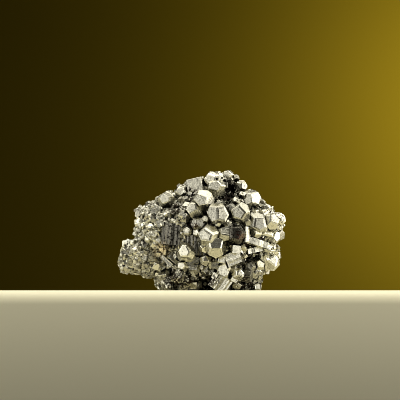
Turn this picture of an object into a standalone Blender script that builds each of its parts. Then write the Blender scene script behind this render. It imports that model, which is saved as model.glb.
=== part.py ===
"""Pyrite crystal cluster: a lump of massive pyrite grown over with pyritohedral and cubic crystals.

Metres, +Z up. The cluster rests on z = 0, its box is centred on the Z axis, and its best side faces -Y.
"""

import math
import random

import bmesh
import bpy
from mathutils import Matrix, Vector, noise
from mathutils.bvhtree import BVHTree

MM = 0.001

# Driving dimensions, in millimetres.
GRAIN = 2.1  # voxel of the massive core, the coarseness of its broken surface
CORE_TRIANGLES = 1100  # what is left of the core's skin after it is simplified
KEPT = 0.65  # share of the fused cluster's triangles that is left after its slivers are collapsed
ROUGHNESS = 1.1  # how far the core's skin wanders in and out
SEED = 23
CENTRING = (0.3, -0.4)  # slides the finished cluster along X and Y, so that its box is centred on the Z axis

# The massive core is a heap of fused lumps: centre x, y, z and radii rx, ry, rz, in millimetres.
LUMPS = {
    "heart": ((2, 2, 28), (28, 19, 24)),
    "front_bulge": ((9, -8, 26), (18, 12, 18)),
    "right_bulge": ((21, -5, 28), (13, 12, 14)),
    "back_mass": ((-2, 10, 27), (25, 14, 20)),
    "left_mass": ((-19.0, 0, 29), (14.6, 16, 14)),
    "left_lobe": ((-31.4, -2, 18.0), (8.3, 12, 8.3)),
    "left_toe": ((-35.2, -1, 13.2), (6.3, 10, 4.8)),
    "left_keel": ((-25.0, 0, 13), (7.0, 12, 6.5)),
    "left_shoulder": ((-24.0, 2, 37.8), (8.2, 12, 5.8)),
    "left_knob": ((-18.0, 0, 44.8), (4.5, 7, 4)),
    "ridge": ((-2.6, 1, 48.2), (9.4, 11, 6.2)),
    "summit": ((9, 0, 50.5), (8.0, 10, 7.5)),
    "right_shoulder": ((18.5, 1, 41.4), (8.6, 13, 7.8)),
    "right_flank": ((31.5, 0, 32.0), (8.9, 12, 8.8)),
    "right_lobe": ((30, -1, 17), (7, 11, 6.5)),
    "left_foot": ((-11.2, -2, 6), (11.6, 15, 9)),
    "right_foot": ((16, -1, 7), (13.4, 16, 10)),
    "back_foot": ((2, 10, 7), (20, 12, 10)),
}

# Pits sunk into the core before the crystals grow on it: centre and radii.
PITS = {
    "under_summit": ((14.5, -12, 50.0), (4.2, 9, 4.8)),
    "under_bars": ((-17.5, -15, 9.2), (5.0, 8, 2.4)),
}

# Hollows under the front edge, between the feet: centre and radii.
HOLLOWS = {
    "middle": ((-4.5, -21, -0.5), (8.5, 9, 5.2)),
    "right": ((20.0, -21, -1), (6.5, 8, 4.2)),
}

# Crystal forms as sets of faces: Miller index and distance from the centre, where a {210} face is at 1.
PYRITOHEDRON = [((2, 1, 0), 1.0)]
PYRITOHEDRON_CUT = [((2, 1, 0), 1.0), ((1, 1, 1), 1.12)]
CUBE = [((1, 0, 0), 0.84)]
CUBE_CUT = [((1, 0, 0), 0.9), ((1, 1, 1), 1.22)]
OCTAHEDRON = [((1, 1, 1), 0.86), ((1, 0, 0), 1.02)]
BAR = [((1, 0, 0), 0.3)]
FORMS = {
    "pyr": PYRITOHEDRON,
    "pyc": PYRITOHEDRON_CUT,
    "cub": CUBE,
    "cuc": CUBE_CUT,
    "oct": OCTAHEDRON,
    "bar": BAR,
}
BAR_STRETCH = 3.2  # length of a bar over its thickness

# The face that is turned to the viewer and the direction of its tip; the other forms lead with a {210} face.
LEADS = {
    "cub": ((1, 0, 0), (0, 1, 0)),
    "cuc": ((1, 0, 0), (0, 1, 0)),
    "bar": ((1, 0, 0), (0, 1, 0)),
    "oct": ((1, 1, 1), (-1, -1, 2)),
}
ACROSS = 2.25  # how wide a form is, in units of its {210} distance
UNEVEN = 0.12  # how far the faces of one crystal differ in their distance

VIEWER = (-1, -667, 0)  # the front crystals are laid out as they are seen from here

# The large crystals of the front: x and z of where its middle is seen against the plane y = 0, width, form, where
# its leading face looks (degrees to the right, degrees up), the clock angle of that face's point, and how far the
# crystal stands out of the core.
FRONT = [
    # summit and top right
    (6.6, 52.0, 8.5, "pyr", -4, 15, 15, 1.5),
    (12.9, 57.8, 5.6, "pyr", -14, 14, 20, 0.0),
    (13.4, 54.2, 3.8, "pyr", -2, 4, 0, 1.5),
    (19.5, 51.8, 7.0, "pyr", 25, 3, 90, 1.5),
    (17.0, 56.0, 3.5, "cuc", 10, 40, 0, 0.5),
    (24.0, 48.4, 4.5, "pyr", 12, 28, 90, 0.5),
    (23.9, 44.9, 10.6, "pyr", -8, 3, 270, -0.5),
    (29.3, 43.4, 4.5, "pyr", 40, 40, 30, 0.5),
    (32.0, 41.2, 4.5, "pyc", 35, 20, 60, 0.5),
    # upper middle
    (0.6, 44.6, 10.5, "pyr", -4, 2, 195, 2.6),
    (-4.0, 40.3, 9.0, "pyr", -22, 8, 330, 0.5),
    (6.9, 37.8, 11.5, "pyr", 19, 3, 90, 1.6),
    (14.5, 40.5, 6.0, "pyr", -14, 4, 0, 1.0),
    (19.0, 38.0, 10.5, "pyr", -15, -5, 225, 1.3),
    (17.4, 44.3, 4.5, "cuc", 0, 38, 20, 1.0),
    (20.0, 47.2, 3.8, "cub", 0, 42, 20, 2.5),
    (-1.9, 33.2, 7.0, "pyr", 20, 4, 20, 0.5),
    (1.5, 35.0, 4.0, "cuc", 0, 30, 0, 0.5),
    (8.0, 33.5, 4.0, "pyr", 10, -14, 90, 0.5),
    (13.0, 33.0, 5.5, "pyr", 30, -12, 40, 0.5),
    (22.5, 33.8, 5.0, "pyr", 10, -14, 0, 1.0),
    (17.5, 32.8, 3.0, "cub", 0, 36, 20, 1.5),
    # right flank
    (27.5, 32.8, 10.5, "pyr", 15, 6, 180, 0.8),
    (34.6, 34.2, 8.5, "pyr", 26, 16, 20, 1.0),
    (38.2, 35.6, 6.6, "pyc", 50, 20, 0, 0.0),
    (37.8, 28.0, 6.5, "pyr", 46, -8, 60, 0.0),
    (27.0, 28.8, 5.5, "pyr", 19, 2, 0, 1.5),
    (31.5, 27.5, 8.0, "bar", 10, 4, 100, 0.0),
    (35.0, 26.5, 7.5, "pyr", 38, 6, 120, 0.0),
    (21.9, 27.5, 9.0, "bar", 36, 4, 5, 2.0),
    (26.9, 23.8, 12.5, "bar", 18, 4, 106, 1.5),
    (25.9, 20.0, 9.0, "bar", 18, 2, 78, 1.0),
    (32.5, 20.5, 7.0, "pyr", 30, 20, 200, 0.5),
    (35.4, 21.0, 5.0, "pyr", 50, 20, 0, 0.0),
    (34.6, 13.5, 8.5, "pyc", 34, 10, 0, 0.5),
    (28.0, 12.9, 6.0, "pyr", 19, 2, 0, 1.5),
    (23.5, 12.0, 6.0, "pyr", -10, 2, 90, 0.5),
    # middle
    (16.6, 27.8, 9.3, "pyc", -3, 4, 90, 2.0),
    (4.2, 26.8, 11.3, "pyr", -17, 6, 215, 1.8),
    (11.4, 28.4, 7.6, "pyr", 10, 22, 10, 1.2),
    (6.6, 21.4, 10.5, "pyr", 2, 24, 0, 2.0),
    (16.6, 20.2, 5.5, "cub", 19, 3, 5, 1.5),
    (20.0, 20.5, 4.0, "cuc", 16, -12, 30, 1.5),
    (17.2, 18.2, 3.5, "pyr", 0, 4, 0, 1.5),
    (15.3, 15.3, 9.0, "cub", -15, 9, 158, 1.5),
    (1.5, 15.0, 5.5, "pyc", 3, 8, 0, 2.0),
    (-3.0, 22.5, 14.0, "cub", -6, 2, 94, -4.0),
    (-9.6, 19.0, 9.0, "oct", -17, 8, 0, 1.0),
    (-9.6, 12.0, 6.0, "pyr", -17, 6, 100, 1.5),
    (-4.5, 14.5, 7.5, "cub", -4, 4, 20, 0.0),
    (-7.2, 29.5, 5.0, "pyc", -17, 6, 0, 1.0),
    # left
    (-16.0, 28.0, 13.0, "cub", 4, 4, 94, -4.0),
    (-9.5, 37.0, 6.5, "pyr", -10, 14, 20, 0.5),
    (-17.8, 14.4, 9.0, "bar", -10, 14, 132, 1.0),
    (-23.0, 12.0, 4.0, "cuc", 4, -14, 20, 0.5),
    (-10.2, 48.8, 6.4, "pyc", -20, 12, 40, -0.3),
    (-17.8, 45.2, 8.0, "pyr", 12, 22, 60, 0.0),
    (-2.8, 51.6, 10.0, "cub", -17, 8, 78, -2.4),
    # foot
    (11.2, 9.5, 7.5, "cuc", -17, 6, 20, 1.5),
    (17.9, 8.0, 6.5, "pyc", 19, 4, 20, 1.5),
    (15.6, 5.5, 4.5, "cub", 19, 4, 30, 1.5),
    (6.6, 7.2, 4.0, "cub", -17, 6, 30, 2.0),
    (9.0, 3.0, 12.0, "cub", -12, 7, 125, -1.5),
    (22.0, 7.5, 6.5, "pyr", 4, 2, 0, 1.0),
    (27.5, 8.0, 6.5, "pyr", 16, 12, 30, 1.0),
    (27.0, 1.5, 6.0, "pyr", 20, 10, 0, 1.0),
    (-4.5, 10.5, 6.5, "pyr", -8, 12, 0, 1.0),
    (2.5, 9.5, 7.5, "pyr", 10, 8, 200, 0.5),
    (-17.0, 3.0, 6.0, "pyr", -10, 20, 60, 0.5),
    (-9.5, 1.5, 6.0, "pyr", 10, 12, 90, 0.5),
    (-12.0, 6.5, 6.5, "pyr", 0, 24, 30, 0.5),
    (-14.6, 15.2, 8.0, "bar", 14, 10, 132, 1.0),
    (10.4, 15.2, 5.0, "cuc", -16, 6, 10, 1.0),
    (5.0, 55.0, 8.6, "pyr", -17, 16, 200, -1.0),
    (15.2, 10.8, 5.0, "pyr", -10, 14, 0, 1.0),
    (-21.3, 25.0, 5.0, "oct", -20, 10, 20, -1.0),
    (-11.0, 24.2, 4.6, "cub", 12, 20, 30, -0.8),
    (-21.0, 33.2, 4.6, "cub", -12, 14, 70, -1.0),
    (-11.6, 33.6, 4.4, "oct", 10, 20, 10, -0.8),
]

# Crystals filling the rest, region by region: how many, their least and greatest width, how closely they may
# crowd, how deep they sit as a share of their width, and their forms.
FILL = {
    "granular_left": (84, 3.0, 6.4, 0.80, 0.20, ("cub", "oct", "cuc")),
    "front_gaps": (74, 3.2, 5.8, 0.70, 0.12, ("cub", "pyr", "oct")),
    "sides_and_back": (74, 6.5, 11.0, 0.72, 0.20, ("pyr", "pyr", "cub")),
}


def region_of(spot):
    if spot.y > 6 * MM:
        return "sides_and_back"
    return "granular_left" if spot.x < -11 * MM else "front_gaps"


def clear_scene():
    for item in list(bpy.data.objects):
        bpy.data.objects.remove(item)


def collection(name, shown):
    made = bpy.data.collections.new(name)
    made.hide_render = not shown
    bpy.context.scene.collection.children.link(made)
    return made


def bake(item):
    """Gives the item the mesh its modifiers make of it."""
    graph = bpy.context.evaluated_depsgraph_get()
    item.data = bpy.data.meshes.new_from_object(item.evaluated_get(graph))
    item.modifiers.clear()


def add_mesh(name, bm, into):
    mesh = bpy.data.meshes.new(name)
    bm.to_mesh(mesh)
    bm.free()
    item = bpy.data.objects.new(name, mesh)
    into.objects.link(item)
    return item


def ellipsoid(bm, centre, radii, finer=3):
    place = Matrix.Translation(Vector(centre) * MM) @ Matrix.Diagonal((*(Vector(radii) * MM), 1))
    bmesh.ops.create_icosphere(bm, subdivisions=finer, radius=1.0, matrix=place)


def build_core(into):
    """The massive pyrite under the crystals: lumps fused on a voxel grid, roughened and simplified."""
    bm = bmesh.new()
    for centre, radii in LUMPS.values():
        ellipsoid(bm, centre, radii)
    core = add_mesh("core", bm, into)
    fuse = core.modifiers.new("fuse", "REMESH")
    fuse.mode = "VOXEL"
    fuse.voxel_size = GRAIN * MM
    bake(core)
    for name, (centre, radii) in PITS.items():
        bm = bmesh.new()
        ellipsoid(bm, centre, radii, finer=2)
        pit = add_mesh(f"{name}_pit", bm, into)
        pit.display_type = "WIRE"
        sink = core.modifiers.new("sink", "BOOLEAN")
        sink.operation = "DIFFERENCE"
        sink.object = pit
        bake(core)
    outward = [vertex.normal.copy() for vertex in core.data.vertices]
    for vertex, normal in zip(core.data.vertices, outward):
        coarse = noise.noise(vertex.co / (7 * MM))
        fine = noise.noise(vertex.co / (2.6 * MM) + Vector((9, 4, 2)))
        vertex.co += normal * (ROUGHNESS * MM) * (1.3 * coarse + 0.7 * fine)
    thin = core.modifiers.new("thin", "DECIMATE")
    thin.ratio = CORE_TRIANGLES / (2 * len(core.data.polygons))
    bake(core)
    return core


def family(index):
    """The symmetry-related face normals of a Miller index in pyrite's class."""
    h, k, l = index
    turns = {(h, k, l), (l, h, k), (k, l, h)}
    signs = [(a, b, c) for a in (1, -1) for b in (1, -1) for c in (1, -1)]
    return sorted({(a * p, b * q, c * r) for p, q, r in turns for a, b, c in signs})


def grow_crystal(bm, form, chance):
    """A block cleaved by the faces of a form, each at its own slightly uneven distance."""
    bmesh.ops.create_cube(bm, size=4.0)
    for index, distance in FORMS[form]:
        for normal in family(index):
            cleave(bm, Vector(normal).normalized(), distance * (1 + chance.uniform(-UNEVEN, UNEVEN)))
    if form == "bar":
        bmesh.ops.scale(bm, vec=(1, BAR_STRETCH, 1), verts=bm.verts)


def cleave(bm, normal, depth):
    cut = bmesh.ops.bisect_plane(
        bm,
        geom=bm.verts[:] + bm.edges[:] + bm.faces[:],
        dist=1e-6,
        plane_co=normal * depth,
        plane_no=normal,
        clear_outer=True,
    )
    rim = [e for e in cut["geom_cut"] if isinstance(e, bmesh.types.BMEdge)]
    if rim:
        bmesh.ops.contextual_create(bm, geom=rim)


def aim(form, across, up, clock):
    """The turn that points the form's leading face across degrees right and up degrees up from -Y."""
    face, tip = (Vector(v).normalized() for v in LEADS.get(form, ((2, 1, 0), (-1, 2, 0))))
    local = Matrix((face, tip, face.cross(tip)))
    a, e, c = math.radians(across), math.radians(up), math.radians(clock)
    look = Vector((math.sin(a) * math.cos(e), -math.cos(a) * math.cos(e), math.sin(e)))
    right = Vector((math.cos(a), math.sin(a), 0))
    top = right.cross(look) * -1
    point = top * math.cos(c) + right * math.sin(c)
    world = Matrix((look, point, look.cross(point))).transposed()
    return world @ local


def add_crystal(into, name, form, width, middle, turn, chance):
    bm = bmesh.new()
    grow_crystal(bm, form, chance)
    size = Matrix.Scale(width * MM / ACROSS, 4)
    bmesh.ops.transform(bm, matrix=Matrix.Translation(middle) @ turn.to_4x4() @ size, verts=bm.verts)
    bmesh.ops.recalc_face_normals(bm, faces=bm.faces)
    item = add_mesh(name, bm, into)
    item.display_type = "WIRE"
    return item


def front_crystals(into, skin, chance):
    """The named front crystals, each set on the core where a line from the viewer meets it."""
    viewer = Vector(VIEWER) * MM
    seats = []
    for n, (x, z, width, form, across, up, clock, lift) in enumerate(FRONT):
        seen = Vector((x, 0, z)) * MM
        spot = skin.ray_cast(viewer, (seen - viewer).normalized())[0]
        if spot is None:
            spot = Vector((x * MM, skin.find_nearest(seen)[0].y, z * MM))
        middle = spot - Vector((0, lift * MM, 0))
        add_crystal(into, f"front_{n:03d}", form, width, middle, aim(form, across, up, clock), chance)
        seats.append((middle, width))
    return seats


def spots_on(mesh, chance, tries):
    """Random points on a mesh, spread evenly over its area, each with its face's normal."""
    mesh.calc_loop_triangles()
    triangles = mesh.loop_triangles
    picked = chance.choices(range(len(triangles)), weights=[t.area for t in triangles], k=tries)
    for index in picked:
        a, b, c = (mesh.vertices[v].co for v in triangles[index].vertices)
        u, v = chance.random(), chance.random()
        if u + v > 1:
            u, v = 1 - u, 1 - v
        yield a + (b - a) * u + (c - a) * v, triangles[index].normal


def random_turn(chance):
    axis = Vector([chance.gauss(0, 1) for _ in range(3)]).normalized()
    return Matrix.Rotation(chance.uniform(0, math.pi), 3, axis)


def fill(into, core, seats, chance, region):
    """Crystals in the free room a region still has between those that are there already."""
    count, least, most, crowd, sink, forms = FILL[region]
    placed = 0
    for spot, normal in spots_on(core.data, chance, 9000):
        width = chance.uniform(least, most)
        if spot.z < 1.5 * MM or placed == count or region_of(spot) != region:
            continue
        if any((spot - seat).length < crowd * 0.5 * (width + other) * MM for seat, other in seats):
            continue
        middle = spot - normal * (sink * width * MM)
        name = f"{region}_{placed:03d}"
        add_crystal(into, name, chance.choice(forms), width, middle, random_turn(chance), chance)
        seats.append((spot, width))
        placed += 1
    print(region, placed)


def cutters(into):
    """What shapes the underside: the level it rests on and the hollows between its feet."""
    bm = bmesh.new()
    bmesh.ops.create_cube(bm, size=1.0, matrix=Matrix.Translation((0, 0, -0.05)) @ Matrix.Diagonal((0.3, 0.3, 0.1, 1)))
    made = [add_mesh("ground_cut", bm, into)]
    for name, (centre, radii) in HOLLOWS.items():
        bm = bmesh.new()
        ellipsoid(bm, centre, radii, finer=2)
        for vertex in bm.verts:
            away = (vertex.co - Vector(centre) * MM).normalized()
            vertex.co += away * 0.8 * MM * noise.noise(vertex.co / (3 * MM))
        made.append(add_mesh(f"{name}_hollow", bm, into))
    for item in made:
        item.display_type = "WIRE"
    return made


def keep_largest(mesh):
    """Drops the sealed voids between crystals, so that what is left is one solid."""
    bm = bmesh.new()
    bm.from_mesh(mesh)
    left, shells = set(bm.verts), []
    while left:
        shell, edge = set(), [left.pop()]
        while edge:
            vertex = edge.pop()
            shell.add(vertex)
            near = {e.other_vert(vertex) for e in vertex.link_edges} & left
            left -= near
            edge.extend(near)
        shells.append(shell)
    shells.sort(key=len)
    bmesh.ops.delete(bm, geom=[v for shell in shells[:-1] for v in shell], context="VERTS")
    print("shells", [len(s) for s in shells[-5:]])
    bm.to_mesh(mesh)
    bm.free()


def pyrite():
    made = bpy.data.materials.new("pyrite")
    made.use_nodes = True
    surface = made.node_tree.nodes["Principled BSDF"]
    surface.inputs["Base Color"].default_value = (0.60, 0.56, 0.44, 1)
    surface.inputs["Metallic"].default_value = 1.0
    surface.inputs["Roughness"].default_value = 0.3
    return made


def main():
    clear_scene()
    chance = random.Random(SEED)
    shown = collection("pyrite_specimen", True)
    crystals = collection("crystals", False)
    tools = collection("cutters", False)

    core = build_core(tools)
    skin = BVHTree.FromPolygons(
        [v.co for v in core.data.vertices], [p.vertices for p in core.data.polygons]
    )
    seats = front_crystals(crystals, skin, chance)
    for region in FILL:
        fill(crystals, core, seats, chance, region)

    cluster = bpy.data.objects.new("pyrite_cluster", core.data.copy())
    shown.objects.link(cluster)
    grow = cluster.modifiers.new("grow", "BOOLEAN")
    grow.operation = "UNION"
    grow.operand_type = "COLLECTION"
    grow.collection = crystals
    bake(cluster)
    keep_largest(cluster.data)
    thin = cluster.modifiers.new("thin", "DECIMATE")
    thin.ratio = KEPT
    for tool in cutters(tools):
        cut = cluster.modifiers.new(tool.name, "BOOLEAN")
        cut.operation = "DIFFERENCE"
        cut.object = tool
    bake(cluster)
    keep_largest(cluster.data)
    cluster.data.transform(Matrix.Translation(Vector((*CENTRING, 0)) * MM))
    cluster.data.materials.clear()
    cluster.data.materials.append(pyrite())


main()
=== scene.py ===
import math
import random
import time

import bmesh
import bpy
from mathutils import Matrix, Vector, noise
from mathutils.bvhtree import BVHTree


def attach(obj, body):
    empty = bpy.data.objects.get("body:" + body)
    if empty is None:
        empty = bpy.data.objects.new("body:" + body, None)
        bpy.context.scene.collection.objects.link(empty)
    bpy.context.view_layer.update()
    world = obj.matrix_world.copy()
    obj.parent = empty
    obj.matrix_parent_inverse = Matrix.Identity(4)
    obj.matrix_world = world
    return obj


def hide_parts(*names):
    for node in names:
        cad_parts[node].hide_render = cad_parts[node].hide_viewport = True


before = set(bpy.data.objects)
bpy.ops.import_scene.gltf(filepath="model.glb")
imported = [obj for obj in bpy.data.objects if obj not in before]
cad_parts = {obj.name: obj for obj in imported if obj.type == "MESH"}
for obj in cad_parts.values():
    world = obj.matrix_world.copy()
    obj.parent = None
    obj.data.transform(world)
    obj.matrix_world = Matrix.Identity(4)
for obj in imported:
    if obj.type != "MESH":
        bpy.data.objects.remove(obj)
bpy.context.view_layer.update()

mm = 0.001
started = time.time()


def hexToLinear(code):  # sRGB hex to the linear colour that the shaders work in
    channels = [int(code[i:i + 2], 16) / 255 for i in (1, 3, 5)]
    return [c / 12.92 if c <= 0.04045 else ((c + 0.055) / 1.055) ** 2.4 for c in channels] + [1.0]


def stage(words):
    print(f"{time.time() - started:6.1f} s  {words}")


# The massive core is a heap of fused lumps: centre x, y, z and radii rx, ry, rz, in millimetres.
core = {
    "voxel": 2.1,
    "triangles": 1100,
    "roughness": 1.1,
    "swells": (7, 1.3),  # size of its broad unevenness and the share it has
    "knobs": (2.6, 0.7),  # and of the finer one
    "fineVoxel": 1.1,  # the same heap again, fine enough to show between the crystals
    "fineRoughness": 0.55,
    "fineGrain": 1.3,
    "pitting": (2.2, 3.0, 0.05),  # size, depth and how far it spreads
    "sunk": 0.1,  # how far the fine heap stays back, so that the grains on it stand out
    "lowered": 0.8,  # unevenness of the hollows under the front edge
    "loweredGrain": 3,
    "lightEnds": (-9, 32, 6),  # mm: left of the first and right of the second, with a border that wanders
    "endDark": (0.12, 0.1),  # how dark the core is at the left and at the right end; between them it is 1, painted shade on the core in the gaps between the crystals
    "slide": (0.3, -0.4),  # centres the finished cluster over the origin
    "lumps": {
        "heart": ((2, 2, 28), (28, 19, 24)),
        "frontBulge": ((9, -8, 26), (18, 12, 18)),
        "rightBulge": ((21, -5, 28), (13, 12, 14)),
        "backMass": ((-2, 10, 27), (25, 14, 20)),
        "leftMass": ((-19.0, 0, 29), (14.6, 16, 14)),
        "leftLobe": ((-31.4, -2, 18.0), (8.3, 12, 8.3)),
        "leftToe": ((-35.2, -1, 13.2), (6.3, 10, 4.8)),
        "leftKeel": ((-25.0, 0, 13), (7.0, 12, 6.5)),
        "leftShoulder": ((-24.0, 2, 37.8), (8.2, 12, 5.8)),
        "leftKnob": ((-18.0, 0, 44.8), (4.5, 7, 4)),
        "ridge": ((-2.6, 1, 48.2), (9.4, 11, 6.2)),
        "summit": ((9, 0, 50.5), (8.0, 10, 7.5)),
        "rightShoulder": ((18.5, 1, 41.4), (8.6, 13, 7.8)),
        "rightFlank": ((31.5, 0, 32.0), (8.9, 12, 8.8)),
        "rightLobe": ((30, -1, 17), (7, 11, 6.5)),
        "leftFoot": ((-11.2, -2, 6), (11.6, 15, 9)),
        "rightFoot": ((16, -1, 7), (13.4, 16, 10)),
        "backFoot": ((2, 10, 7), (20, 12, 10)),
    },
    "pits": {  # sunk into the core before the crystals grow on it
        "underSummit": ((14.5, -12, 50.0), (4.2, 9, 4.8)),
        "underBars": ((-17.5, -15, 9.2), (5.0, 8, 2.4)),
    },
    "hollows": {
        "middle": ((-4.5, -21, -0.5), (8.5, 9, 5.2)),
        "right": ((20.0, -21, -1), (6.5, 8, 4.2)),
    },
}


def newObject(name, bm):
    mesh = bpy.data.meshes.new(name)
    bm.to_mesh(mesh)
    bm.free()
    made = bpy.data.objects.new(name, mesh)
    bpy.context.scene.collection.objects.link(made)
    return made


def bake(item):  # gives the item the mesh its modifiers make of it
    graph = bpy.context.evaluated_depsgraph_get()
    old = item.data
    item.data = bpy.data.meshes.new_from_object(item.evaluated_get(graph))
    item.modifiers.clear()
    bpy.data.meshes.remove(old)


def ellipsoid(bm, centre, radii, finer=3):
    place = Matrix.Translation(Vector(centre) * mm) @ Matrix.Diagonal((*(Vector(radii) * mm), 1))
    bmesh.ops.create_icosphere(bm, subdivisions=finer, radius=1.0, matrix=place)


def inEllipsoid(spot, centre, radii, looser=1.0):
    return sum(((s / mm - c) / (looser * r)) ** 2 for s, c, r in zip(spot, centre, radii)) < 1


def heapOfLumps(name, voxel):
    bm = bmesh.new()
    for centre, radii in core["lumps"].values():
        ellipsoid(bm, centre, radii)
    heap = newObject(name, bm)
    melt = heap.modifiers.new("melt", "REMESH")
    melt.mode = "VOXEL"
    melt.voxel_size = voxel * mm
    bake(heap)
    for centre, radii in core["pits"].values():
        bm = bmesh.new()
        ellipsoid(bm, centre, radii, finer=2)
        fuse(heap, newObject("pit", bm), "DIFFERENCE", "EXACT")
    (swell, swellShare), (knob, knobShare) = core["swells"], core["knobs"]
    outward = [vertex.normal.copy() for vertex in heap.data.vertices]
    for vertex, normal in zip(heap.data.vertices, outward):
        coarse = noise.noise(vertex.co / (swell * mm))
        fine = noise.noise(vertex.co / (knob * mm) + Vector((9, 4, 2)))
        vertex.co += normal * (core["roughness"] * mm) * (swellShare * coarse + knobShare * fine)
    return heap


def seatingCore():  # the plain core that the crystals are seated on
    heap = heapOfLumps("seating", core["voxel"])
    thin = heap.modifiers.new("thin", "DECIMATE")
    thin.ratio = core["triangles"] / (2 * len(heap.data.polygons))
    bake(heap)
    return heap


def brokenCore():  # the core that shows: granular, with pits a grain or two deep
    heap = heapOfLumps("broken", core["fineVoxel"])
    size, depth, spread = core["pitting"]
    outward = [vertex.normal.copy() for vertex in heap.data.vertices]
    for vertex, normal in zip(heap.data.vertices, outward):
        grainy = noise.noise(vertex.co / (core["fineGrain"] * mm) + Vector((3, 1, 7)))
        pitted = min(0.0, noise.noise(vertex.co / (size * mm) + Vector((5, 8, 1))) + spread)
        vertex.co += normal * mm * (core["fineRoughness"] * grainy + depth * pitted - core["sunk"])
    return heap


# A form is a set of faces: Miller index and distance from the centre, where a {210} face is at 1.
crystals = {
    "seed": 23,
    "finishSeed": 7,  # for what doesn't change where a crystal sits
    "viewer": (-1, -667, 0),  # the front crystals are laid out as they are seen from here
    "across": 2.25,  # how wide a form is, in units of its {210} distance
    "uneven": 0.12,  # how far the faces of one crystal differ in their distance
    "forms": {
        "pyr": [((2, 1, 0), 1.0)],
        "pyc": [((2, 1, 0), 1.0), ((1, 1, 1), 1.12)],
        "cub": [((1, 0, 0), 0.84)],
        "cuc": [((1, 0, 0), 0.9), ((1, 1, 1), 1.22)],
        "oct": [((1, 1, 1), 0.86), ((1, 0, 0), 1.02)],
        "bar": [((1, 0, 0), 0.3)],
    },
    # the face that aim turns to the viewer and the direction of its tip; the rest lead with a {210} face
    "leads": {
        "cub": ((1, 0, 0), (0, 1, 0)),
        "cuc": ((1, 0, 0), (0, 1, 0)),
        "bar": ((1, 0, 0), (0, 1, 0)),
        "oct": ((1, 1, 1), (-1, -1, 2)),
    },
    "barStretch": 3.2,  # length of a bar over its thickness
    # region: how many, least and greatest width, crowding, depth as a share of the width, forms
    "fill": {
        "granularLeft": (84, 3.0, 6.4, 0.80, 0.20, ("cub", "oct", "cuc")),
        "frontGaps": (74, 3.2, 5.8, 0.70, 0.12, ("cub", "pyr", "oct")),
        "sidesAndBack": (74, 6.5, 11.0, 0.72, 0.20, ("pyr", "pyr", "cub")),
    },
    "fillTries": 9000,
    "fillFrom": 1.5,  # mm above the ground
    "backFrom": 6,  # mm behind the middle where the sides and back begin
    "leftUpTo": -11,  # mm where the granular left end stops
    "worn": 3,  # mm, crystals wider than this have worn edges and terraces
    "bevel": 0.016,  # worn edge, as a share of the width
    "terraceChance": 0.5,
    "terraceRim": (0.06, 0.22),  # how far in from the edges a terrace starts
    "terraceSteps": (0.035, 0.05, -0.03),
    "ribStep": 0.055,
    "unevenTone": 0.28,  # how much darker than clean a crystal may be
    "cleanFlank": (26, 0.2),  # mm where the cleaner right flank starts, and what share of that it keeps
}

# What a face belongs to, noted as the third part of its tone.
faceKinds = {"core": 0.0, "crystal": 1.0, "grain": 2.0, "bite": 3.0, "bareCrystal": 4.0}

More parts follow.
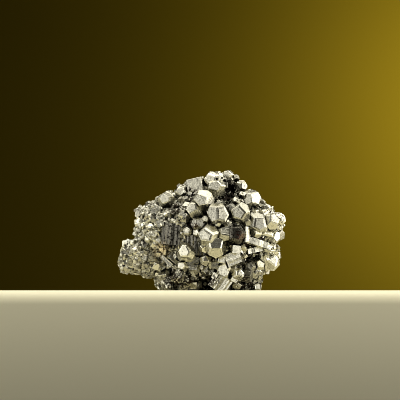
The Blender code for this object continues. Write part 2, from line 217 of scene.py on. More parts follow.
# The large crystals of the front: x and z of where the middle is seen against the plane y = 0, width, form,
# where the leading face looks (degrees to the right, degrees up), the clock angle of that face's point, and
# how far the crystal stands out of the core.
frontCrystals = [
    # summit and top right
    (6.8, 51.0, 9.4, "pyr", -12, 11, 15, 1.5),
    (12.9, 57.8, 5.6, "pyr", -14, 14, 20, 0.0),
    (13.4, 54.2, 3.8, "pyr", -2, 4, 0, 1.5),
    (19.5, 51.8, 7.0, "pyr", 25, 3, 90, 1.5),
    (17.0, 56.0, 3.5, "cuc", 10, 40, 0, 0.5),
    (24.0, 48.4, 4.5, "pyr", 12, 28, 90, 0.5),
    (23.9, 44.9, 10.6, "pyr", -21, 4, 262, -0.5),
    (29.3, 43.4, 4.5, "pyr", 40, 40, 30, 0.5),
    (32.0, 41.2, 4.5, "pyc", 35, 20, 60, 0.5),
    # upper middle
    (0.6, 44.6, 10.5, "pyr", -12, 6, 200, 2.6),
    (-4.0, 40.3, 9.0, "pyr", -22, 8, 330, 0.5),
    (7.8, 37.7, 10.8, "pyr", 24, 4, 90, 1.6),
    (14.5, 40.5, 6.0, "pyr", -14, 4, 0, 1.0),
    (19.0, 38.0, 10.5, "pyr", -15, 3, 225, 1.3),
    (17.4, 44.3, 4.5, "cuc", 0, 38, 20, 1.0),
    (20.0, 47.2, 3.8, "cub", 0, 42, 20, 2.5),
    (-1.9, 33.2, 7.0, "pyr", 20, 4, 20, 0.5),
    (1.5, 35.0, 4.0, "cuc", 0, 30, 0, 0.5),
    (8.0, 33.5, 4.0, "pyr", 10, -14, 90, 0.5),
    (13.0, 33.0, 5.5, "pyr", 30, -12, 40, 0.5),
    (22.5, 33.8, 5.0, "pyr", 10, -14, 0, 1.0),
    (17.5, 32.8, 3.0, "cub", 0, 36, 20, 1.5),
    # right flank
    (27.5, 32.8, 10.5, "pyr", 15, 6, 180, 0.8),
    (34.6, 34.2, 8.5, "pyr", 26, 16, 20, 1.0),
    (38.2, 35.6, 6.6, "pyc", 50, 20, 0, 0.0),
    (37.8, 28.0, 6.5, "pyr", 46, -8, 60, 0.0),
    (27.0, 28.8, 5.5, "pyr", 19, 2, 0, 1.5),
    (31.5, 28.5, 8.5, "bar", 18, 4, 100, 0.6),
    (35.0, 26.5, 7.5, "pyr", 38, 6, 120, 0.0),
    (21.9, 27.5, 9.0, "bar", 36, 4, 5, 2.0),
    (26.9, 23.8, 12.5, "bar", 18, 4, 106, 1.5),
    (25.9, 20.0, 9.0, "bar", 18, 2, 78, 1.0),
    (32.5, 20.5, 7.0, "pyr", 30, 20, 200, 0.5),
    (35.4, 21.0, 5.0, "pyr", 50, 20, 0, 0.0),
    (34.4, 14.4, 8.6, "pyc", 20, 5, 40, 0.5),
    (28.0, 12.9, 6.0, "pyr", 19, 2, 0, 1.5),
    (23.5, 12.0, 6.0, "pyr", -10, 2, 90, 0.5),
    # middle
    (16.6, 27.8, 9.3, "pyc", -3, 4, 90, 2.0),
    (3.7, 26.9, 10.8, "pyr", -17, 6, 215, 1.8),
    (11.4, 28.4, 7.6, "pyr", 10, 22, 10, 1.2),
    (6.6, 21.4, 10.5, "pyr", 2, 15, 0, 2.0),
    (16.6, 20.2, 5.5, "cub", 19, 3, 5, 1.5),
    (20.0, 20.5, 4.0, "cuc", 16, -12, 30, 1.5),
    (17.2, 18.2, 3.5, "pyr", 0, 4, 0, 1.5),
    (16.5, 15.4, 9.4, "cub", -15, 8, 158, 1.5),
    (1.5, 15.0, 5.5, "pyc", 3, 8, 0, 2.0),
    (-3.0, 22.5, 14.0, "cub", -6, 1, 94, -4.0),
    (-8.0, 18.9, 11.0, "oct", -17, 7, 0, 1.2),
    (-9.6, 12.0, 6.0, "pyr", -17, 6, 100, 1.5),
    (-4.5, 14.5, 7.5, "cub", -4, 4, 20, 0.0),
    (-7.2, 29.5, 5.0, "pyc", -17, 6, 0, 1.0),
    # left
    (-16.0, 28.0, 13.0, "cub", 4, 4, 94, -4.0),
    (-9.5, 37.0, 6.5, "pyr", -10, 14, 20, 0.5),
    (-17.8, 14.4, 9.0, "bar", -10, 14, 132, 1.0),
    (-23.0, 12.0, 4.0, "cuc", 4, -14, 20, 0.5),
    (-10.2, 48.8, 6.4, "pyc", -20, 12, 40, -0.3),
    (-17.8, 45.2, 8.0, "pyr", -17, 9, 60, 0.0),
    (-2.8, 51.6, 10.0, "cub", -17, 8, 78, -2.4),
    # foot
    (11.2, 9.5, 7.5, "cuc", -17, 6, 20, 1.5),
    (17.9, 8.0, 6.5, "pyc", 19, 4, 20, 1.5),
    (15.6, 5.5, 4.5, "cub", 19, 4, 30, 1.5),
    (6.6, 7.2, 4.0, "cub", -17, 6, 30, 2.0),
    (10.0, 3.0, 12.0, "cub", -15, 7, 125, -1.5),
    (22.0, 7.5, 6.5, "pyr", 4, 2, 0, 1.0),
    (27.5, 8.0, 6.5, "pyr", 16, 12, 30, 1.0),
    (27.0, 1.5, 6.0, "pyr", 20, 10, 0, 1.0),
    (-4.5, 10.5, 6.5, "pyr", -8, 12, 0, 1.0),
    (2.5, 9.5, 7.5, "pyr", 10, 8, 200, 0.5),
    (-17.0, 3.0, 6.0, "pyr", -10, 20, 60, 0.5),
    (-9.5, 1.5, 6.0, "pyr", 10, 12, 90, 0.5),
    (-12.0, 6.5, 6.5, "pyr", 0, 24, 30, 0.5),
    (-14.6, 15.2, 8.0, "bar", 14, 10, 132, 1.0),
    (10.4, 15.2, 5.0, "cuc", -16, 6, 10, 1.0),
    (5.0, 55.0, 8.6, "pyr", -17, 16, 200, -1.0),
    (15.2, 10.8, 5.0, "pyr", -10, 14, 0, 1.0),
    (-21.3, 25.0, 5.0, "oct", -20, 10, 20, -1.0),
    (-11.0, 24.2, 4.6, "cub", 12, 20, 30, -0.8),
    (-21.0, 33.2, 4.6, "cub", -12, 14, 70, -1.0),
    (-11.6, 33.6, 4.4, "oct", 10, 20, 10, -0.8),
]

# Front crystals with bare faces, by their place in the list above, and how dark each is: from nearly black to
# not darkened at all.
bare = {
    0: 0.12, 1: 0.02, 2: 0.85, 3: 0.2, 4: 0.7, 6: 0.4, 9: 0.05, 10: 0.3, 11: 0.48, 12: 0.7,
    13: 0.3, 15: 0.01, 16: 0.62, 20: 0.05, 22: 0.12, 23: 0.02, 25: 0.35, 26: 0.02, 27: 0.1, 28: 0.02,
    29: 0.01, 30: 0.02, 31: 0.02, 33: 0.25, 34: 0.1, 35: 0.02, 36: 0.6, 37: 0.87, 38: 0.01, 39: 0.3,
    40: 0.0, 41: 0.01, 43: 0.5, 44: 0.02, 45: 0.15, 46: 0.72, 47: 0.15, 48: 0.01, 50: 0.01, 51: 0.82,
    53: 0.05, 54: 0.02, 55: 0.1, 56: 0.15, 57: 0.3, 58: 0.01, 59: 0.01, 60: 0.02, 61: 0.02, 62: 0.05,
    63: 0.6, 71: 0.05, 72: 0.02, 73: 0.01, 74: 0.5,
}

# Where a front crystal keeps other room free round it than it fills, by its place in the list: x, z, width,
# lift. It keeps the seeded crystals where they are.
room = {
    0: (6.6, 52.0, 8.5, 1.5), 11: (6.9, 37.8, 11.5, 1.6), 27: (31.5, 27.5, 8.0, 0.0),
    34: (34.6, 13.5, 8.5, 0.5), 38: (4.2, 26.8, 11.3, 1.8), 44: (15.3, 15.3, 9.0, 1.5),
    47: (-9.6, 19.0, 9.0, 1.0), 62: (9.0, 3.0, 12.0, -1.5),
}

# Strongly striated crystals, by their place in the list, and how many long steps their leading face has.
ribbed = {46: 13, 51: 9, 44: 4, 30: 4, 31: 3, 62: 11}


def family(index):  # the symmetry-related face normals of a Miller index in pyrite's class
    h, k, l = index
    turns = {(h, k, l), (l, h, k), (k, l, h)}
    signs = [(a, b, c) for a in (1, -1) for b in (1, -1) for c in (1, -1)]
    return sorted({(a * p, b * q, c * r) for p, q, r in turns for a, b, c in signs})


def cleave(bm, normal, depth):
    cut = bmesh.ops.bisect_plane(
        bm,
        geom=bm.verts[:] + bm.edges[:] + bm.faces[:],
        dist=1e-6,
        plane_co=normal * depth,
        plane_no=normal,
        clear_outer=True,
    )
    rim = [e for e in cut["geom_cut"] if isinstance(e, bmesh.types.BMEdge)]
    if rim:
        bmesh.ops.contextual_create(bm, geom=rim)


def growCrystal(form, chance):  # a block cleaved by the faces of a form, each at a slightly uneven distance
    bm = bmesh.new()
    bmesh.ops.create_cube(bm, size=4.0)
    for index, distance in crystals["forms"][form]:
        for normal in family(index):
            depth = distance * (1 + chance.uniform(-crystals["uneven"], crystals["uneven"]))
            cleave(bm, Vector(normal).normalized(), depth)
    if form == "bar":
        bmesh.ops.scale(bm, vec=(1, crystals["barStretch"], 1), verts=bm.verts)
    bmesh.ops.recalc_face_normals(bm, faces=bm.faces)
    return bm


def striateFaces(bm):  # notes on every face the direction across its growth lines; octahedral faces have none
    across = bm.faces.layers.float_vector.new("across")
    for face in bm.faces:
        size = [abs(c) for c in face.normal]
        along = Vector((0, 0, 0))
        along[(size.index(max(size)) + 2) % 3] = 1
        if max(size) > 0.7:  # 0.58 on an octahedral face, 0.89 or more on the others
            face[across] = along.cross(face.normal).normalized()


def ribFace(bm, ribs, chance):  # turns the leading cube face into long steps, as on strongly striated pyrite
    around = [e for e in bm.edges if abs((e.verts[0].co - e.verts[1].co).normalized().y) > 0.99]
    bmesh.ops.subdivide_edges(bm, edges=around, cuts=ribs, use_grid_fill=True)
    places = sorted({round(v.co.y, 4) for v in bm.verts})
    step = crystals["ribStep"]
    push = {place: chance.uniform(-step, step) for place in places[1:-1]}
    for vertex in bm.verts:
        if vertex.co.x > 0:
            vertex.co.x += push.get(round(vertex.co.y, 4), 0)


def settleOrder(bm):  # sorts the faces, which a bevel leaves in an order that differs from run to run
    bm.verts.index_update()
    first = {f: sorted(v.index for v in f.verts)[:3] for f in bm.faces}
    bm.faces.sort(key=lambda f: sum(1000 ** -n * v for n, v in enumerate(first[f])))


def wearAndTerrace(bm, chance):  # a fine worn edge all round, and low growth terraces on some faces
    chosen = [f for f in bm.faces if chance.random() < crystals["terraceChance"]]
    bmesh.ops.bevel(
        bm, geom=bm.edges[:] + bm.verts[:], offset=crystals["bevel"] * crystals["across"],
        offset_type="OFFSET", segments=1, affect="EDGES", clamp_overlap=True,
    )
    settleOrder(bm)
    faces = sorted(bm.faces, key=lambda f: -round(f.calc_area(), 5))[:len(chosen)]
    for face in faces:
        rim, step = chance.uniform(*crystals["terraceRim"]), chance.choice(crystals["terraceSteps"])
        bmesh.ops.inset_individual(bm, faces=[face], thickness=rim, depth=step, use_even_offset=True)
    settleOrder(bm)


def aim(form, across, up, clock):  # turns the leading face across degrees right and up degrees up from -Y
    face, tip = (Vector(v).normalized() for v in crystals["leads"].get(form, ((2, 1, 0), (-1, 2, 0))))
    local = Matrix((face, tip, face.cross(tip)))
    a, e, c = math.radians(across), math.radians(up), math.radians(clock)
    look = Vector((math.sin(a) * math.cos(e), -math.cos(a) * math.cos(e), math.sin(e)))
    right = Vector((math.cos(a), math.sin(a), 0))
    top = right.cross(look) * -1
    point = top * math.cos(c) + right * math.sin(c)
    return Matrix((look, point, look.cross(point))).transposed() @ local


def placeCrystal(bm, width, middle, turn, tone):  # puts a crystal in place and notes its tone on its faces
    across = bm.faces.layers.float_vector["across"]
    toneLayer = bm.faces.layers.float_vector.new("tone")
    for face in bm.faces:
        face[across] = turn @ face[across]
        face[toneLayer] = tone
    size = Matrix.Scale(width * mm / crystals["across"], 4)
    bmesh.ops.transform(bm, matrix=Matrix.Translation(middle) @ turn.to_4x4() @ size, verts=bm.verts)
    return {"bm": bm, "middle": middle.copy(), "width": width}


def spotsOn(mesh, chance, tries):  # random points spread evenly over a mesh, each with its triangle
    mesh.calc_loop_triangles()
    triangles = mesh.loop_triangles
    picked = chance.choices(range(len(triangles)), weights=[t.area for t in triangles], k=tries)
    for index in picked:
        a, b, c = (mesh.vertices[v].co for v in triangles[index].vertices)
        u, v = chance.random(), chance.random()
        if u + v > 1:
            u, v = 1 - u, 1 - v
        yield a + (b - a) * u + (c - a) * v, triangles[index]


def randomTurn(chance):
    axis = Vector([chance.gauss(0, 1) for _ in range(3)]).normalized()
    return Matrix.Rotation(chance.uniform(0, math.pi), 3, axis)


def regionOf(spot):
    if spot.y > crystals["backFrom"] * mm:
        return "sidesAndBack"
    return "granularLeft" if spot.x < crystals["leftUpTo"] * mm else "frontGaps"


def seatOf(skin, x, z, lift):  # where the line from the viewer meets the core, lifted towards the front
    viewer = Vector(crystals["viewer"]) * mm
    seen = Vector((x, 0, z)) * mm
    spot = skin.ray_cast(viewer, (seen - viewer).normalized())[0]
    if spot is None:
        spot = Vector((x * mm, skin.find_nearest(seen)[0].y, z * mm))
    return spot - Vector((0, lift * mm, 0))


def largeCrystals(seating):
    chance = random.Random(crystals["seed"])
    finish = random.Random(crystals["finishSeed"])
    corners = [v.co for v in seating.data.vertices]
    skin = BVHTree.FromPolygons(corners, [p.vertices for p in seating.data.polygons])
    flank, cleaner = crystals["cleanFlank"]
    seats, made = [], []

    def add(form, width, middle, turn, dark=None, ribs=0):
        bm = growCrystal(form, chance)
        striateFaces(bm)
        if ribs:
            ribFace(bm, ribs, finish)
        elif width > crystals["worn"]:
            wearAndTerrace(bm, finish)
        anyTone = abs(finish.gauss(0, crystals["unevenTone"])) * (cleaner if middle.x > flank * mm else 1)
        if dark is None:
            tone = (anyTone, finish.random(), faceKinds["crystal"])
        else:
            tone = (dark, finish.random(), faceKinds["bareCrystal"])
        made.append(placeCrystal(bm, width, middle, turn, Vector(tone)))

    for n, (x, z, width, form, across, up, clock, lift) in enumerate(frontCrystals):
        turn = aim(form, across, up, clock)
        add(form, width, seatOf(skin, x, z, lift), turn, bare.get(n), ribbed.get(n, 0))
        x, z, width, lift = room.get(n, (x, z, width, lift))
        seats.append((seatOf(skin, x, z, lift), width))

    for region, (count, least, most, crowd, sink, forms) in crystals["fill"].items():
        placed = 0
        for spot, triangle in spotsOn(seating.data, chance, crystals["fillTries"]):
            width = chance.uniform(least, most)
            if spot.z < crystals["fillFrom"] * mm or placed == count or regionOf(spot) != region:
                continue
            if any((spot - seat).length < crowd * 0.5 * (width + other) * mm for seat, other in seats):
                continue
            middle = spot - triangle.normal * (sink * width * mm)
            form = chance.choice(forms)
            add(form, width, middle, randomTurn(chance))
            seats.append((spot, width))
            placed += 1
    return made


def batches(made, reach=0.62):  # groups whose crystals don't touch, so that each fuses in one step
    groups = []
    for crystal in made:
        radius = reach * crystal["width"] * mm
        for group in groups:
            if all((crystal["middle"] - m).length > radius + r for m, r in group["balls"]):
                break
        else:
            group = {"balls": [], "crystals": []}
            groups.append(group)
        group["balls"].append((crystal["middle"], radius))
        group["crystals"].append(crystal)
    return groups


def joined(name, group):
    bm = bmesh.new()
    bm.faces.layers.float_vector.new("across")
    bm.faces.layers.float_vector.new("tone")
    for crystal in group:
        part = bpy.data.meshes.new("part")
        crystal["bm"].to_mesh(part)
        crystal["bm"].free()
        bm.from_mesh(part)
        bpy.data.meshes.remove(part)
    return newObject(name, bm)


def fuse(body, tool, operation="UNION", solver="MANIFOLD"):
    step = body.modifiers.new("fuse", "BOOLEAN")
    step.operation = operation
    step.solver = solver
    step.object = tool
    bake(body)
    bpy.data.objects.remove(tool)


def markCore(body):
    for name in ("across", "tone"):
        body.data.attributes.new(name, "FLOAT_VECTOR", "FACE")
    tones = body.data.attributes["tone"].data
    (left, right, wander), (leftDark, rightDark) = core["lightEnds"], core["endDark"]
    for spot, polygon in zip(tones, body.data.polygons):
        where = polygon.center.x / mm + wander * noise.noise(polygon.center / (wander * mm))
        # between the ends the core, which shows in the gaps between the crystals, is made fully dark: painted
        # shade
        dark = leftDark if where < left else rightDark if where > right else 1.0
        spot.vector = (dark, 0.5, faceKinds["core"])


def carveUnderside(body):
    bm = bmesh.new()
    wide, deep = 300 * mm, 100 * mm  # a block of ground up to z = 0, wider than the cluster
    below = Matrix.Translation((0, 0, -deep / 2)) @ Matrix.Diagonal((wide, wide, deep, 1))
    bmesh.ops.create_cube(bm, size=1.0, matrix=below)
    fuse(body, newObject("ground", bm), "DIFFERENCE")
    for centre, radii in core["hollows"].values():
        bm = bmesh.new()
        ellipsoid(bm, centre, radii)
        for vertex in bm.verts:
            away = (vertex.co - Vector(centre) * mm).normalized()
            vertex.co += away * core["lowered"] * mm * noise.noise(vertex.co / (core["loweredGrain"] * mm))
        fuse(body, newObject("hollow", bm), "DIFFERENCE")


grains = {
    "seed": 9,
    "tries": 30000,
    "granular": (0.8, 3.0),  # least and greatest width where the cluster is granular all over
    "gaps": (0.8, 2.4),  # and of what fills the gaps between large crystals
    "mostlySmall": 2.0,  # the higher, the fewer of them are near the greatest width
    "stretch": (0.6, 1.35),  # how much a splinter is shortened or drawn out along each of its sides
    "crowd": 0.62,
    "onFaces": 0.025,  # share of tries that may settle on a large crystal's face
    "onGranularFaces": 0.28,
    "gapShare": 0.4,
    "most": 4600,
    "lowest": 0.4,  # mm above the ground
    "clearOfPits": 1.25,  # the core's pits are free of grains out to this many of their radii
    "riseGranular": (-0.34, 0.12),  # how far a grain stands out, as a share of its width
    "riseGaps": (-0.15, 0.25),
    "patch": 2.4,  # mm, size of the darker patches of grains
    "darkness": (-0.14, 0.7, 0.25),  # middle, share that follows the patches, and spread from grain to grain
    # how much darker the grains in the gaps between large crystals are: painted shade between the crystals
    "gapShade": 0.2,
    "cleanFlank": (30, 0.4),  # mm where the cleaner right flank starts, and the share of darkness it keeps
    "bites": 190,
    "biteTries": 6000,
    "biteWidth": (1.4, 3.6),
    "bitesMostlySmall": 1.5,
    "biteDark": 0.25,
    "biteLift": 0.2,  # how far a biting grain's middle stands off the face, as a share of its width
    "bitePatch": (4, -0.05),  # size of the patches with pits, and how little keeps a spot free of them
    # in mm: the front's fine-grained zones, with a wandering border
    "frontDepth": 8,
    "wander": (4, 9),
    "leftEnd": -9,
    "rightFlank": (27, 9),
    "crest": 58,
    "leftCrest": (2, 48.5),
}


def granular(spot):  # the left end, the crest and the right flank have no large faces left bare
    if spot.y > grains["frontDepth"] * mm:
        return False
    x, z = spot.x / mm, spot.z / mm
    (far, size), (flank, foot), (side, top) = grains["wander"], grains["rightFlank"], grains["leftCrest"]
    wander = far * noise.noise(spot / (size * mm))
    atSide = x < grains["leftEnd"] + wander or (x > flank + wander and z > foot)
    return atSide or z > grains["crest"] + wander or (x < side and z > top + wander)


def grainLibrary(chance):  # small crystals and splinters of them
    kinds = []
    for form in ("cub", "pyr", "oct", "cub", "cub", "oct", "cub", "pyr", "cub", "oct", "cub", "cuc"):
        bm = growCrystal(form, chance)
        striateFaces(bm)
        bmesh.ops.scale(bm, vec=[chance.uniform(*grains["stretch"]) for _ in range(3)], verts=bm.verts)
        kinds.append(bm)
    return kinds


def bites(body):  # angular pits where grains have broken out of the faces
    chance = random.Random(grains["seed"] + 1)
    kinds = grainLibrary(chance)
    tones = body.data.attributes["tone"].data
    (least, most), (patch, free) = grains["biteWidth"], grains["bitePatch"]
    made = []
    for spot, triangle in spotsOn(body.data, chance, grains["biteTries"]):
        kind, turn = chance.choice(kinds), randomTurn(chance)
        width = least + (most - least) * chance.random() ** grains["bitesMostlySmall"]
        onLarge = tones[triangle.polygon_index].vector[2] == faceKinds["crystal"]
        if not onLarge or granular(spot) or len(made) == grains["bites"]:
            continue
        if spot.y > grains["frontDepth"] * mm:
            continue
        if noise.noise(spot / (patch * mm)) < free:
            continue
        middle = spot + triangle.normal * (grains["biteLift"] * width * mm)
        tone = Vector((grains["biteDark"], chance.random(), faceKinds["bite"]))
        made.append(placeCrystal(kind.copy(), width, middle, turn, tone))
    return made


def fineGrains(body):
    chance = random.Random(grains["seed"])
    kinds = grainLibrary(chance)
    tones = body.data.attributes["tone"].data
    widest = grains["granular"][1]
    cell = grains["crowd"] * widest * mm  # of the grid that finds neighbours: no two crowd from further off
    (usual, follows, spread), (flank, cleaner) = grains["darkness"], grains["cleanFlank"]
    grid, made = {}, []
    for spot, triangle in spotsOn(body.data, chance, grains["tries"]):
        allOver = granular(spot)
        least, most = grains["granular"] if allOver else grains["gaps"]
        width = least + (most - least) * chance.random() ** grains["mostlySmall"]
        kindOfFace = tones[triangle.polygon_index].vector[2]
        lucky = chance.random() < (grains["onGranularFaces"] if allOver else grains["onFaces"])
        kind = chance.choice(kinds)
        turn = randomTurn(chance)
        rise = chance.uniform(*grains["riseGranular" if allOver else "riseGaps"])
        tint = chance.random()
        patch = noise.noise(spot / (grains["patch"] * mm))
        dark = max(0.0, usual + follows * patch + chance.gauss(0.0, spread))
        if len(made) >= grains["most"] or spot.z < grains["lowest"] * mm:
            continue
        if kindOfFace == faceKinds["bareCrystal"] or (kindOfFace != faceKinds["core"] and not lucky):
            continue
        clear = grains["clearOfPits"]
        if any(inEllipsoid(spot, centre, radii, clear) for centre, radii in core["pits"].values()):
            continue
        if not allOver and chance.random() > grains["gapShare"]:
            continue
        key = tuple(int(math.floor(c / cell)) for c in spot)
        near = [n for dx in (-1, 0, 1) for dy in (-1, 0, 1) for dz in (-1, 0, 1)
                for n in grid.get((key[0] + dx, key[1] + dy, key[2] + dz), ())]
        if any((spot - s).length < grains["crowd"] * 0.5 * (width + w) * mm for s, w in near):
            continue
        grid.setdefault(key, []).append((spot, width))
        middle = spot + triangle.normal * (rise * width * mm)
        # grains in the gaps between large crystals are darkened: painted shade between the crystals
        if not allOver:
            dark += grains["gapShade"]
        if spot.x > flank * mm:
            dark *= cleaner
        tone = Vector((dark, tint, faceKinds["grain"]))
        made.append(placeCrystal(kind.copy(), width, middle, turn, tone))
    return made


def keepLargest(mesh):  # drops voids that are sealed in between crystals, and any loose chip
    bm = bmesh.new()
    bm.from_mesh(mesh)
    left, shells = set(bm.verts), []
    while left:
        shell, rim = [], [left.pop()]
        while rim:
            vertex = rim.pop()
            shell.append(vertex)
            near = {e.other_vert(vertex) for e in vertex.link_edges} & left
            left -= near
            rim.extend(near)
        shells.append(shell)
    shells.sort(key=len)
    bmesh.ops.delete(bm, geom=[v for shell in shells[:-1] for v in shell], context="VERTS")
    bm.to_mesh(mesh)
    bm.free()
    return len(shells) - 1


def trianglesOf(mesh):
    return sum(len(p.vertices) - 2 for p in mesh.polygons)


def buildCluster():
    seating = seatingCore()
    large = largeCrystals(seating)
    bpy.data.objects.remove(seating)
    stage(f"{len(large)} large crystals seated")

    body = brokenCore()
    body.name = "crystal_cluster"
    markCore(body)
    for group in batches(large):
        fuse(body, joined("group", group["crystals"]))
    stage(f"fused with the core, {len(body.data.polygons)} faces")

    holes = bites(body)
    for group in batches(holes):
        fuse(body, joined("group", group["crystals"]), "DIFFERENCE")
    stage(f"{len(holes)} pits, {trianglesOf(body.data)} triangles")
    small = fineGrains(body)
    stage(f"{len(small)} fine grains seated")
    for group in batches(small):
        fuse(body, joined("group", group["crystals"]))
    carveUnderside(body)
    loose = keepLargest(body.data)
    body.data.transform(Matrix.Translation((core["slide"][0] * mm, core["slide"][1] * mm, 0)))
    stage(f"grains fused, {loose} sealed voids and chips dropped, {trianglesOf(body.data)} triangles")
    return body


def addNode(tree, kind, settings=None, links=None):
    node = tree.nodes.new(kind)
    for name, value in (settings or {}).items():
        if isinstance(name, int) or name in node.inputs:
            node.inputs[name].default_value = value
        else:
            setattr(node, name, value)
    for socket, source in (links or {}).items():
        tree.links.new(source, node.inputs[socket])
    return node


def newMaterial(name):
    made = bpy.data.materials.new(name)
    made.use_nodes = True
    return made, made.node_tree, made.node_tree.nodes["Principled BSDF"]


pyrite = {
    "clean": "#e6e3d0",  # pale brass
    "greyed": "#b8b6a8",
    # dark colour for tarnish, and for the painted shade in crevices, in gaps between crystals and in recesses
    "tarnishAndShadeColour": "#1f1b17",
    "roughness": 0.14,  # where a face is glossiest
    "grainRoughness": 0.14,  # how much duller the fine grains are
    "creviceShade": 1.3,  # mm, how near its neighbours a spot has to be to get painted shade: the colour is darkened where a spot is closed in
    "openness": (0.30, 0.62),  # how open a spot is where the painted shade is full and where it stops
    "striation": 0.45,  # mm between growth lines; the real ones are several times finer, too fine to show
    "dullPatch": 1.1111,  # mm, size of the patches where a face is duller
    "dullness": (0.52, 0.72, 0.55),  # where in the patches' noise it starts and is full, and how dark it is
    "unevenGloss": 0.25,  # how much rougher it gets with the patches
    "fleck": 0.5,  # mm, size of the dark flecks on the grains
    "fleckDark": (0.52, 0.64, 0.6),
    "creviceShadeStrength": 0.95,
    "etching": 1.4286,  # mm, size of the shallow waves of a face that isn't quite flat
    "relief": 0.1,  # mm, height of the growth lines and of the waves
    "growthStrength": 0.7,
    "patchShape": (1, 0.3, 1.3),  # a patch, stain and painted shade alike, reaches far in depth and a little less in height
    "patchMiddle": 0.2,  # share of its reach where a patch is full
    "patchBlotches": (0.42, 0.6),
    "underOchre": 0.5,  # how far the ochre, which is clay and not metal, hides the metal
    # x, y, z and reach in mm, strength and colour: an ochre iron stain, a dull red film on one face, and
    # painted shade: dark patches in the deeper recesses and the pocket under the summit, and painted shadow
    # along the bottom
    "stainsAndPaintedShade": ((-20.4, -18, 19.7, 6.2, 0.8, "#fae4bc"), (18.6, -24, 26.4, 3.4, 0.5, "#7a2a22"),
               (16.0, -14, 48.0, 6.8, 2.2, "#15120f"), (-12.5, -16, 4.5, 9.5, 2.2, "#29221a"),
               (20.0, -18, 5.0, 6.0, 1.6, "#29221a"), (5.0, -18, 4.5, 6.5, 1.6, "#29221a"),
               (-13.6, -14, 40.6, 5.6, 2.4, "#29221a"), (24.9, -20, 40.5, 3.5, 1.5, "#2b2019"),
               (-3.6, -14, 49.5, 3.5, 1.2, "#2b2019"), (-3.6, -18, 31.0, 3.0, 2.0, "#2b2019")),
}


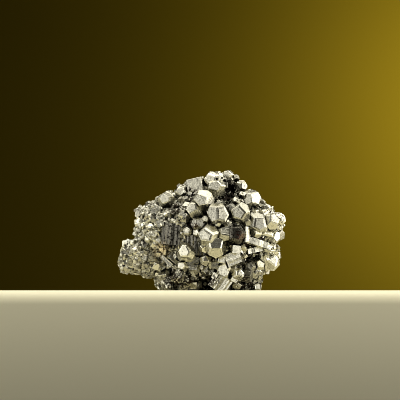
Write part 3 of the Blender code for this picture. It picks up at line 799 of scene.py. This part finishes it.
def naturalPyrite():  # iron sulphide as it grew: bright metallic faces, finely striated, duller in between, with painted shade laid into the colour in crevices and recesses
    made, tree, surface = newMaterial("naturalPyrite")
    place = addNode(tree, "ShaderNodeTexCoord").outputs["Object"]
    inMm = addNode(tree, "ShaderNodeVectorMath", {"operation": "SCALE", "Scale": 1 / mm},
                   {0: place}).outputs[0]
    across = addNode(tree, "ShaderNodeAttribute", {"attribute_name": "across"}).outputs["Vector"]
    tone = addNode(tree, "ShaderNodeAttribute", {"attribute_name": "tone"}).outputs["Vector"]
    parts = addNode(tree, "ShaderNodeSeparateXYZ", links={0: tone}).outputs

    patches = addNode(tree, "ShaderNodeTexNoise", {
        "Scale": 1 / pyrite["dullPatch"], "Detail": 5.0, "Roughness": 0.7,
    }, {"Vector": inMm})
    clean = addNode(tree, "ShaderNodeMix", {
        "data_type": "RGBA", 6: hexToLinear(pyrite["clean"]), 7: hexToLinear(pyrite["greyed"]),
    }, {0: parts[1]}).outputs[2]
    least, most, dark = pyrite["dullness"]
    dull = addNode(tree, "ShaderNodeMapRange", {1: least, 2: most, 3: 0.0, 4: dark}, {0: patches.outputs[0]})
    isGrain = addNode(tree, "ShaderNodeMath", {"operation": "COMPARE", 1: faceKinds["grain"], 2: 0.1},
                      {0: parts[2]})
    specks = addNode(tree, "ShaderNodeTexNoise", {
        "Scale": 1 / pyrite["fleck"], "Detail": 2.0, "Roughness": 0.6,
    }, {"Vector": inMm})
    least, most, dark = pyrite["fleckDark"]
    speck = addNode(tree, "ShaderNodeMapRange", {1: least, 2: most, 3: 0.0, 4: dark}, {0: specks.outputs[0]})
    onGrain = addNode(tree, "ShaderNodeMath", {"operation": "MULTIPLY"},
                      {0: speck.outputs[0], 1: isGrain.outputs[0]})
    flecked = addNode(tree, "ShaderNodeMath", {"operation": "ADD"}, {0: onGrain.outputs[0], 1: parts[0]})
    least, most = pyrite["openness"]
    # ambient occlusion darkens the colour in crevices and between grains: painted shade
    shelter = addNode(tree, "ShaderNodeAmbientOcclusion", {
        "samples": 8, "only_local": True, "Distance": pyrite["creviceShade"] * mm,
    })
    creviceShade = addNode(tree, "ShaderNodeMapRange", {1: least, 2: most, 3: pyrite["creviceShadeStrength"], 4: 0.0},
                      {0: shelter.outputs["AO"]})
    deep = addNode(tree, "ShaderNodeMath", {"operation": "ADD"},
                   {0: creviceShade.outputs[0], 1: flecked.outputs[0]})
    tarnishAndShade = addNode(tree, "ShaderNodeMath", {"operation": "ADD", "use_clamp": True},
                        {0: dull.outputs[0], 1: deep.outputs[0]})
    toned = addNode(tree, "ShaderNodeMix", {
        "data_type": "RGBA", 7: hexToLinear(pyrite["tarnishAndShadeColour"]),
    }, {0: tarnishAndShade.outputs[0], 6: clean}).outputs[2]

    least, most = pyrite["patchBlotches"]
    blotchy = addNode(tree, "ShaderNodeMapRange", {1: least, 2: most}, {0: patches.outputs[0]}).outputs[0]
    squash = pyrite["patchShape"]
    flat = addNode(tree, "ShaderNodeVectorMath", {"operation": "MULTIPLY", 1: squash}, {0: inMm}).outputs[0]
    coloured, patchMasks = toned, []
    # each patch mixes its colour in: the ochre and red ones are stains, the dark ones are painted shade in
    # recesses and painted shadow at the bottom
    for x, y, z, reach, strength, colour in pyrite["stainsAndPaintedShade"]:
        middle = (x, squash[1] * y, squash[2] * z)
        away = addNode(tree, "ShaderNodeVectorMath", {"operation": "DISTANCE", 1: middle}, {0: flat})
        full = pyrite["patchMiddle"] * reach
        near = addNode(tree, "ShaderNodeMapRange", {1: reach, 2: full, 3: 0.0, 4: strength},
                       {0: away.outputs[1]})
        patchMask = addNode(tree, "ShaderNodeMath", {"operation": "MULTIPLY"},
                       {0: near.outputs[0], 1: blotchy}).outputs[0]
        coloured = addNode(tree, "ShaderNodeMix", {"data_type": "RGBA", 7: hexToLinear(colour)},
                           {0: patchMask, 6: coloured}).outputs[2]
        patchMasks.append(patchMask)
    tree.links.new(coloured, surface.inputs["Base Color"])
    metal = addNode(tree, "ShaderNodeMath", {"operation": "MULTIPLY_ADD", 1: -pyrite["underOchre"], 2: 1.0},
                    {0: patchMasks[0]})
    tree.links.new(metal.outputs[0], surface.inputs["Metallic"])

    grainy = addNode(tree, "ShaderNodeMath", {"operation": "MULTIPLY", 1: pyrite["grainRoughness"]},
                     {0: isGrain.outputs[0]})
    rough = addNode(tree, "ShaderNodeMath", {"operation": "MULTIPLY_ADD", 1: pyrite["unevenGloss"]}, {
        0: patches.outputs[0],
        2: addNode(tree, "ShaderNodeMath", {"operation": "ADD", 1: pyrite["roughness"]},
                   {0: grainy.outputs[0]}).outputs[0],
    })
    tree.links.new(rough.outputs[0], surface.inputs["Roughness"])

    lines = addNode(tree, "ShaderNodeVectorMath", {"operation": "DOT_PRODUCT"}, {0: inMm, 1: across})
    scaled = addNode(tree, "ShaderNodeMath", {"operation": "DIVIDE", 1: pyrite["striation"]},
                     {0: lines.outputs["Value"]})
    ridges = addNode(tree, "ShaderNodeTexNoise", {"noise_dimensions": "1D", "Scale": 1.0, "Detail": 3.0},
                     {"W": scaled.outputs[0]})
    growth = addNode(tree, "ShaderNodeBump", {
        "Strength": pyrite["growthStrength"], "Distance": pyrite["relief"] * mm,
    }, {"Height": ridges.outputs[0]})
    waves = addNode(tree, "ShaderNodeTexNoise", {
        "Scale": 1 / pyrite["etching"], "Detail": 3.0, "Roughness": 0.55,
    }, {"Vector": inMm})
    uneven = addNode(tree, "ShaderNodeBump", {"Strength": 1.0, "Distance": pyrite["relief"] * mm},
                     {"Height": waves.outputs[0], "Normal": growth.outputs[0]})
    tree.links.new(uneven.outputs[0], surface.inputs["Normal"])
    return made


def plainMaterial(name, colour, roughness):
    made, _, surface = newMaterial(name)
    surface.inputs["Base Color"].default_value = hexToLinear(colour)
    surface.inputs["Roughness"].default_value = roughness
    return made


studio = {
    "shelf": ("#e0daba", 0.55),  # colour and roughness
    "backdrop": ("#423808", 0.9),
    "air": (0.082, 0.079, 0.069),
    "frontEdge": -0.10,
    "backEdge": 1.0,
    "shelfWidth": 3.0,
    "shelfThickness": 0.12,
    "edgeRadius": 0.006,
    "backdropPlace": (0, 1.9, 0.6),
    "backdropSize": 1.6,
    "lens": 120,  # mm, on a sensor 36 mm wide
    "viewpoint": (-0.00085, -0.6677, 0.0),
    "lookedAt": (-0.00085, -0.001, 0.0452),
    "pixelFilter": 0.8,
    # name: position, aim, width and height, brightness of its face, colour
    "softboxes": {
        "overhead": ((0.05, 0.05, 0.55), (0.05, 0.04, 0), (1.10, 0.80), 2.45, "#fffbee"),
        "frontLeft": ((-0.70, -1.00, 0.30), (0, 0, 0.03), (0.45, 0.80), 1.80, "#fffcf4"),
        "frontRight": ((0.75, -0.85, 0.18), (0, 0, 0.03), (0.40, 0.70), 1.80, "#fffcf4"),
        "left": ((-0.75, -0.14, 0.22), (0, 0, 0.03), (0.60, 0.50), 2.60, "#fffdf8"),
        "right": ((0.75, -0.08, 0.22), (0, 0, 0.03), (0.75, 0.60), 4.00, "#fffaf0"),
        "backdropGlow": ((0.55, 1.40, 0.35), (0.72, 1.9, 0.35), (0.20, 0.35), 85.0, "#fff6d8"),
    },
}


def buildStage():
    bm = bmesh.new()
    near, far, thick = studio["frontEdge"], studio["backEdge"], studio["shelfThickness"]
    middle = Vector((0, (far + near) / 2, -thick / 2))
    size = Matrix.Diagonal((studio["shelfWidth"], far - near, thick, 1))
    bmesh.ops.create_cube(bm, size=1.0, matrix=Matrix.Translation(middle) @ size)
    front = [e for e in bm.edges if all(v.co.y < 0 and v.co.z > -0.01 for v in e.verts)]
    bmesh.ops.bevel(
        bm, geom=front, offset=studio["edgeRadius"], offset_type="OFFSET", segments=10, profile=0.5,
        affect="EDGES",
    )
    shelf = newObject("shelf", bm)
    shelf.data.materials.append(plainMaterial("paintedShelf", *studio["shelf"]))
    shelf.data.shade_smooth()
    bm = bmesh.new()
    bmesh.ops.create_grid(bm, x_segments=1, y_segments=1, size=studio["backdropSize"])
    backdrop = newObject("backdrop", bm)
    backdrop.rotation_euler = (math.radians(90), 0, 0)
    backdrop.location = studio["backdropPlace"]
    paper = plainMaterial("paperBackdrop", *studio["backdrop"])
    paper.node_tree.nodes["Principled BSDF"].inputs["Specular IOR Level"].default_value = 0.0
    backdrop.data.materials.append(paper)


def pointAt(item, place, target):
    item.location = place
    item.rotation_euler = (Vector(target) - Vector(place)).to_track_quat("-Z", "Y").to_euler()


def buildLights():
    for name, (place, target, size, brightness, colour) in studio["softboxes"].items():
        light = bpy.data.lights.new(name, "AREA")
        light.shape = "RECTANGLE"
        light.size, light.size_y = size
        light.energy = brightness * math.pi * size[0] * size[1]
        light.color = hexToLinear(colour)[:3]
        item = bpy.data.objects.new(name, light)
        bpy.context.scene.collection.objects.link(item)
        pointAt(item, place, target)
    air = bpy.data.worlds.new("studioAir")
    air.use_nodes = True
    air.node_tree.nodes["Background"].inputs["Color"].default_value = (*studio["air"], 1)
    bpy.context.scene.world = air
    bpy.context.scene.view_settings.view_transform = "Standard"


def buildCamera():
    lens = bpy.data.cameras.new("camera")
    lens.lens = studio["lens"]
    lens.sensor_width = 36
    item = bpy.data.objects.new("camera", lens)
    bpy.context.scene.collection.objects.link(item)
    pointAt(item, studio["viewpoint"], studio["lookedAt"])
    bpy.context.scene.camera = item
    bpy.context.scene.cycles.filter_width = studio["pixelFilter"]


cluster = buildCluster()
cluster.data.materials.clear()
cluster.data.materials.append(naturalPyrite())
for polygon in cluster.data.polygons:
    polygon.material_index = 0
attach(cluster, "root")
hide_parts("pyrite_cluster")
buildStage()
buildLights()
buildCamera()
stage("scene ready")
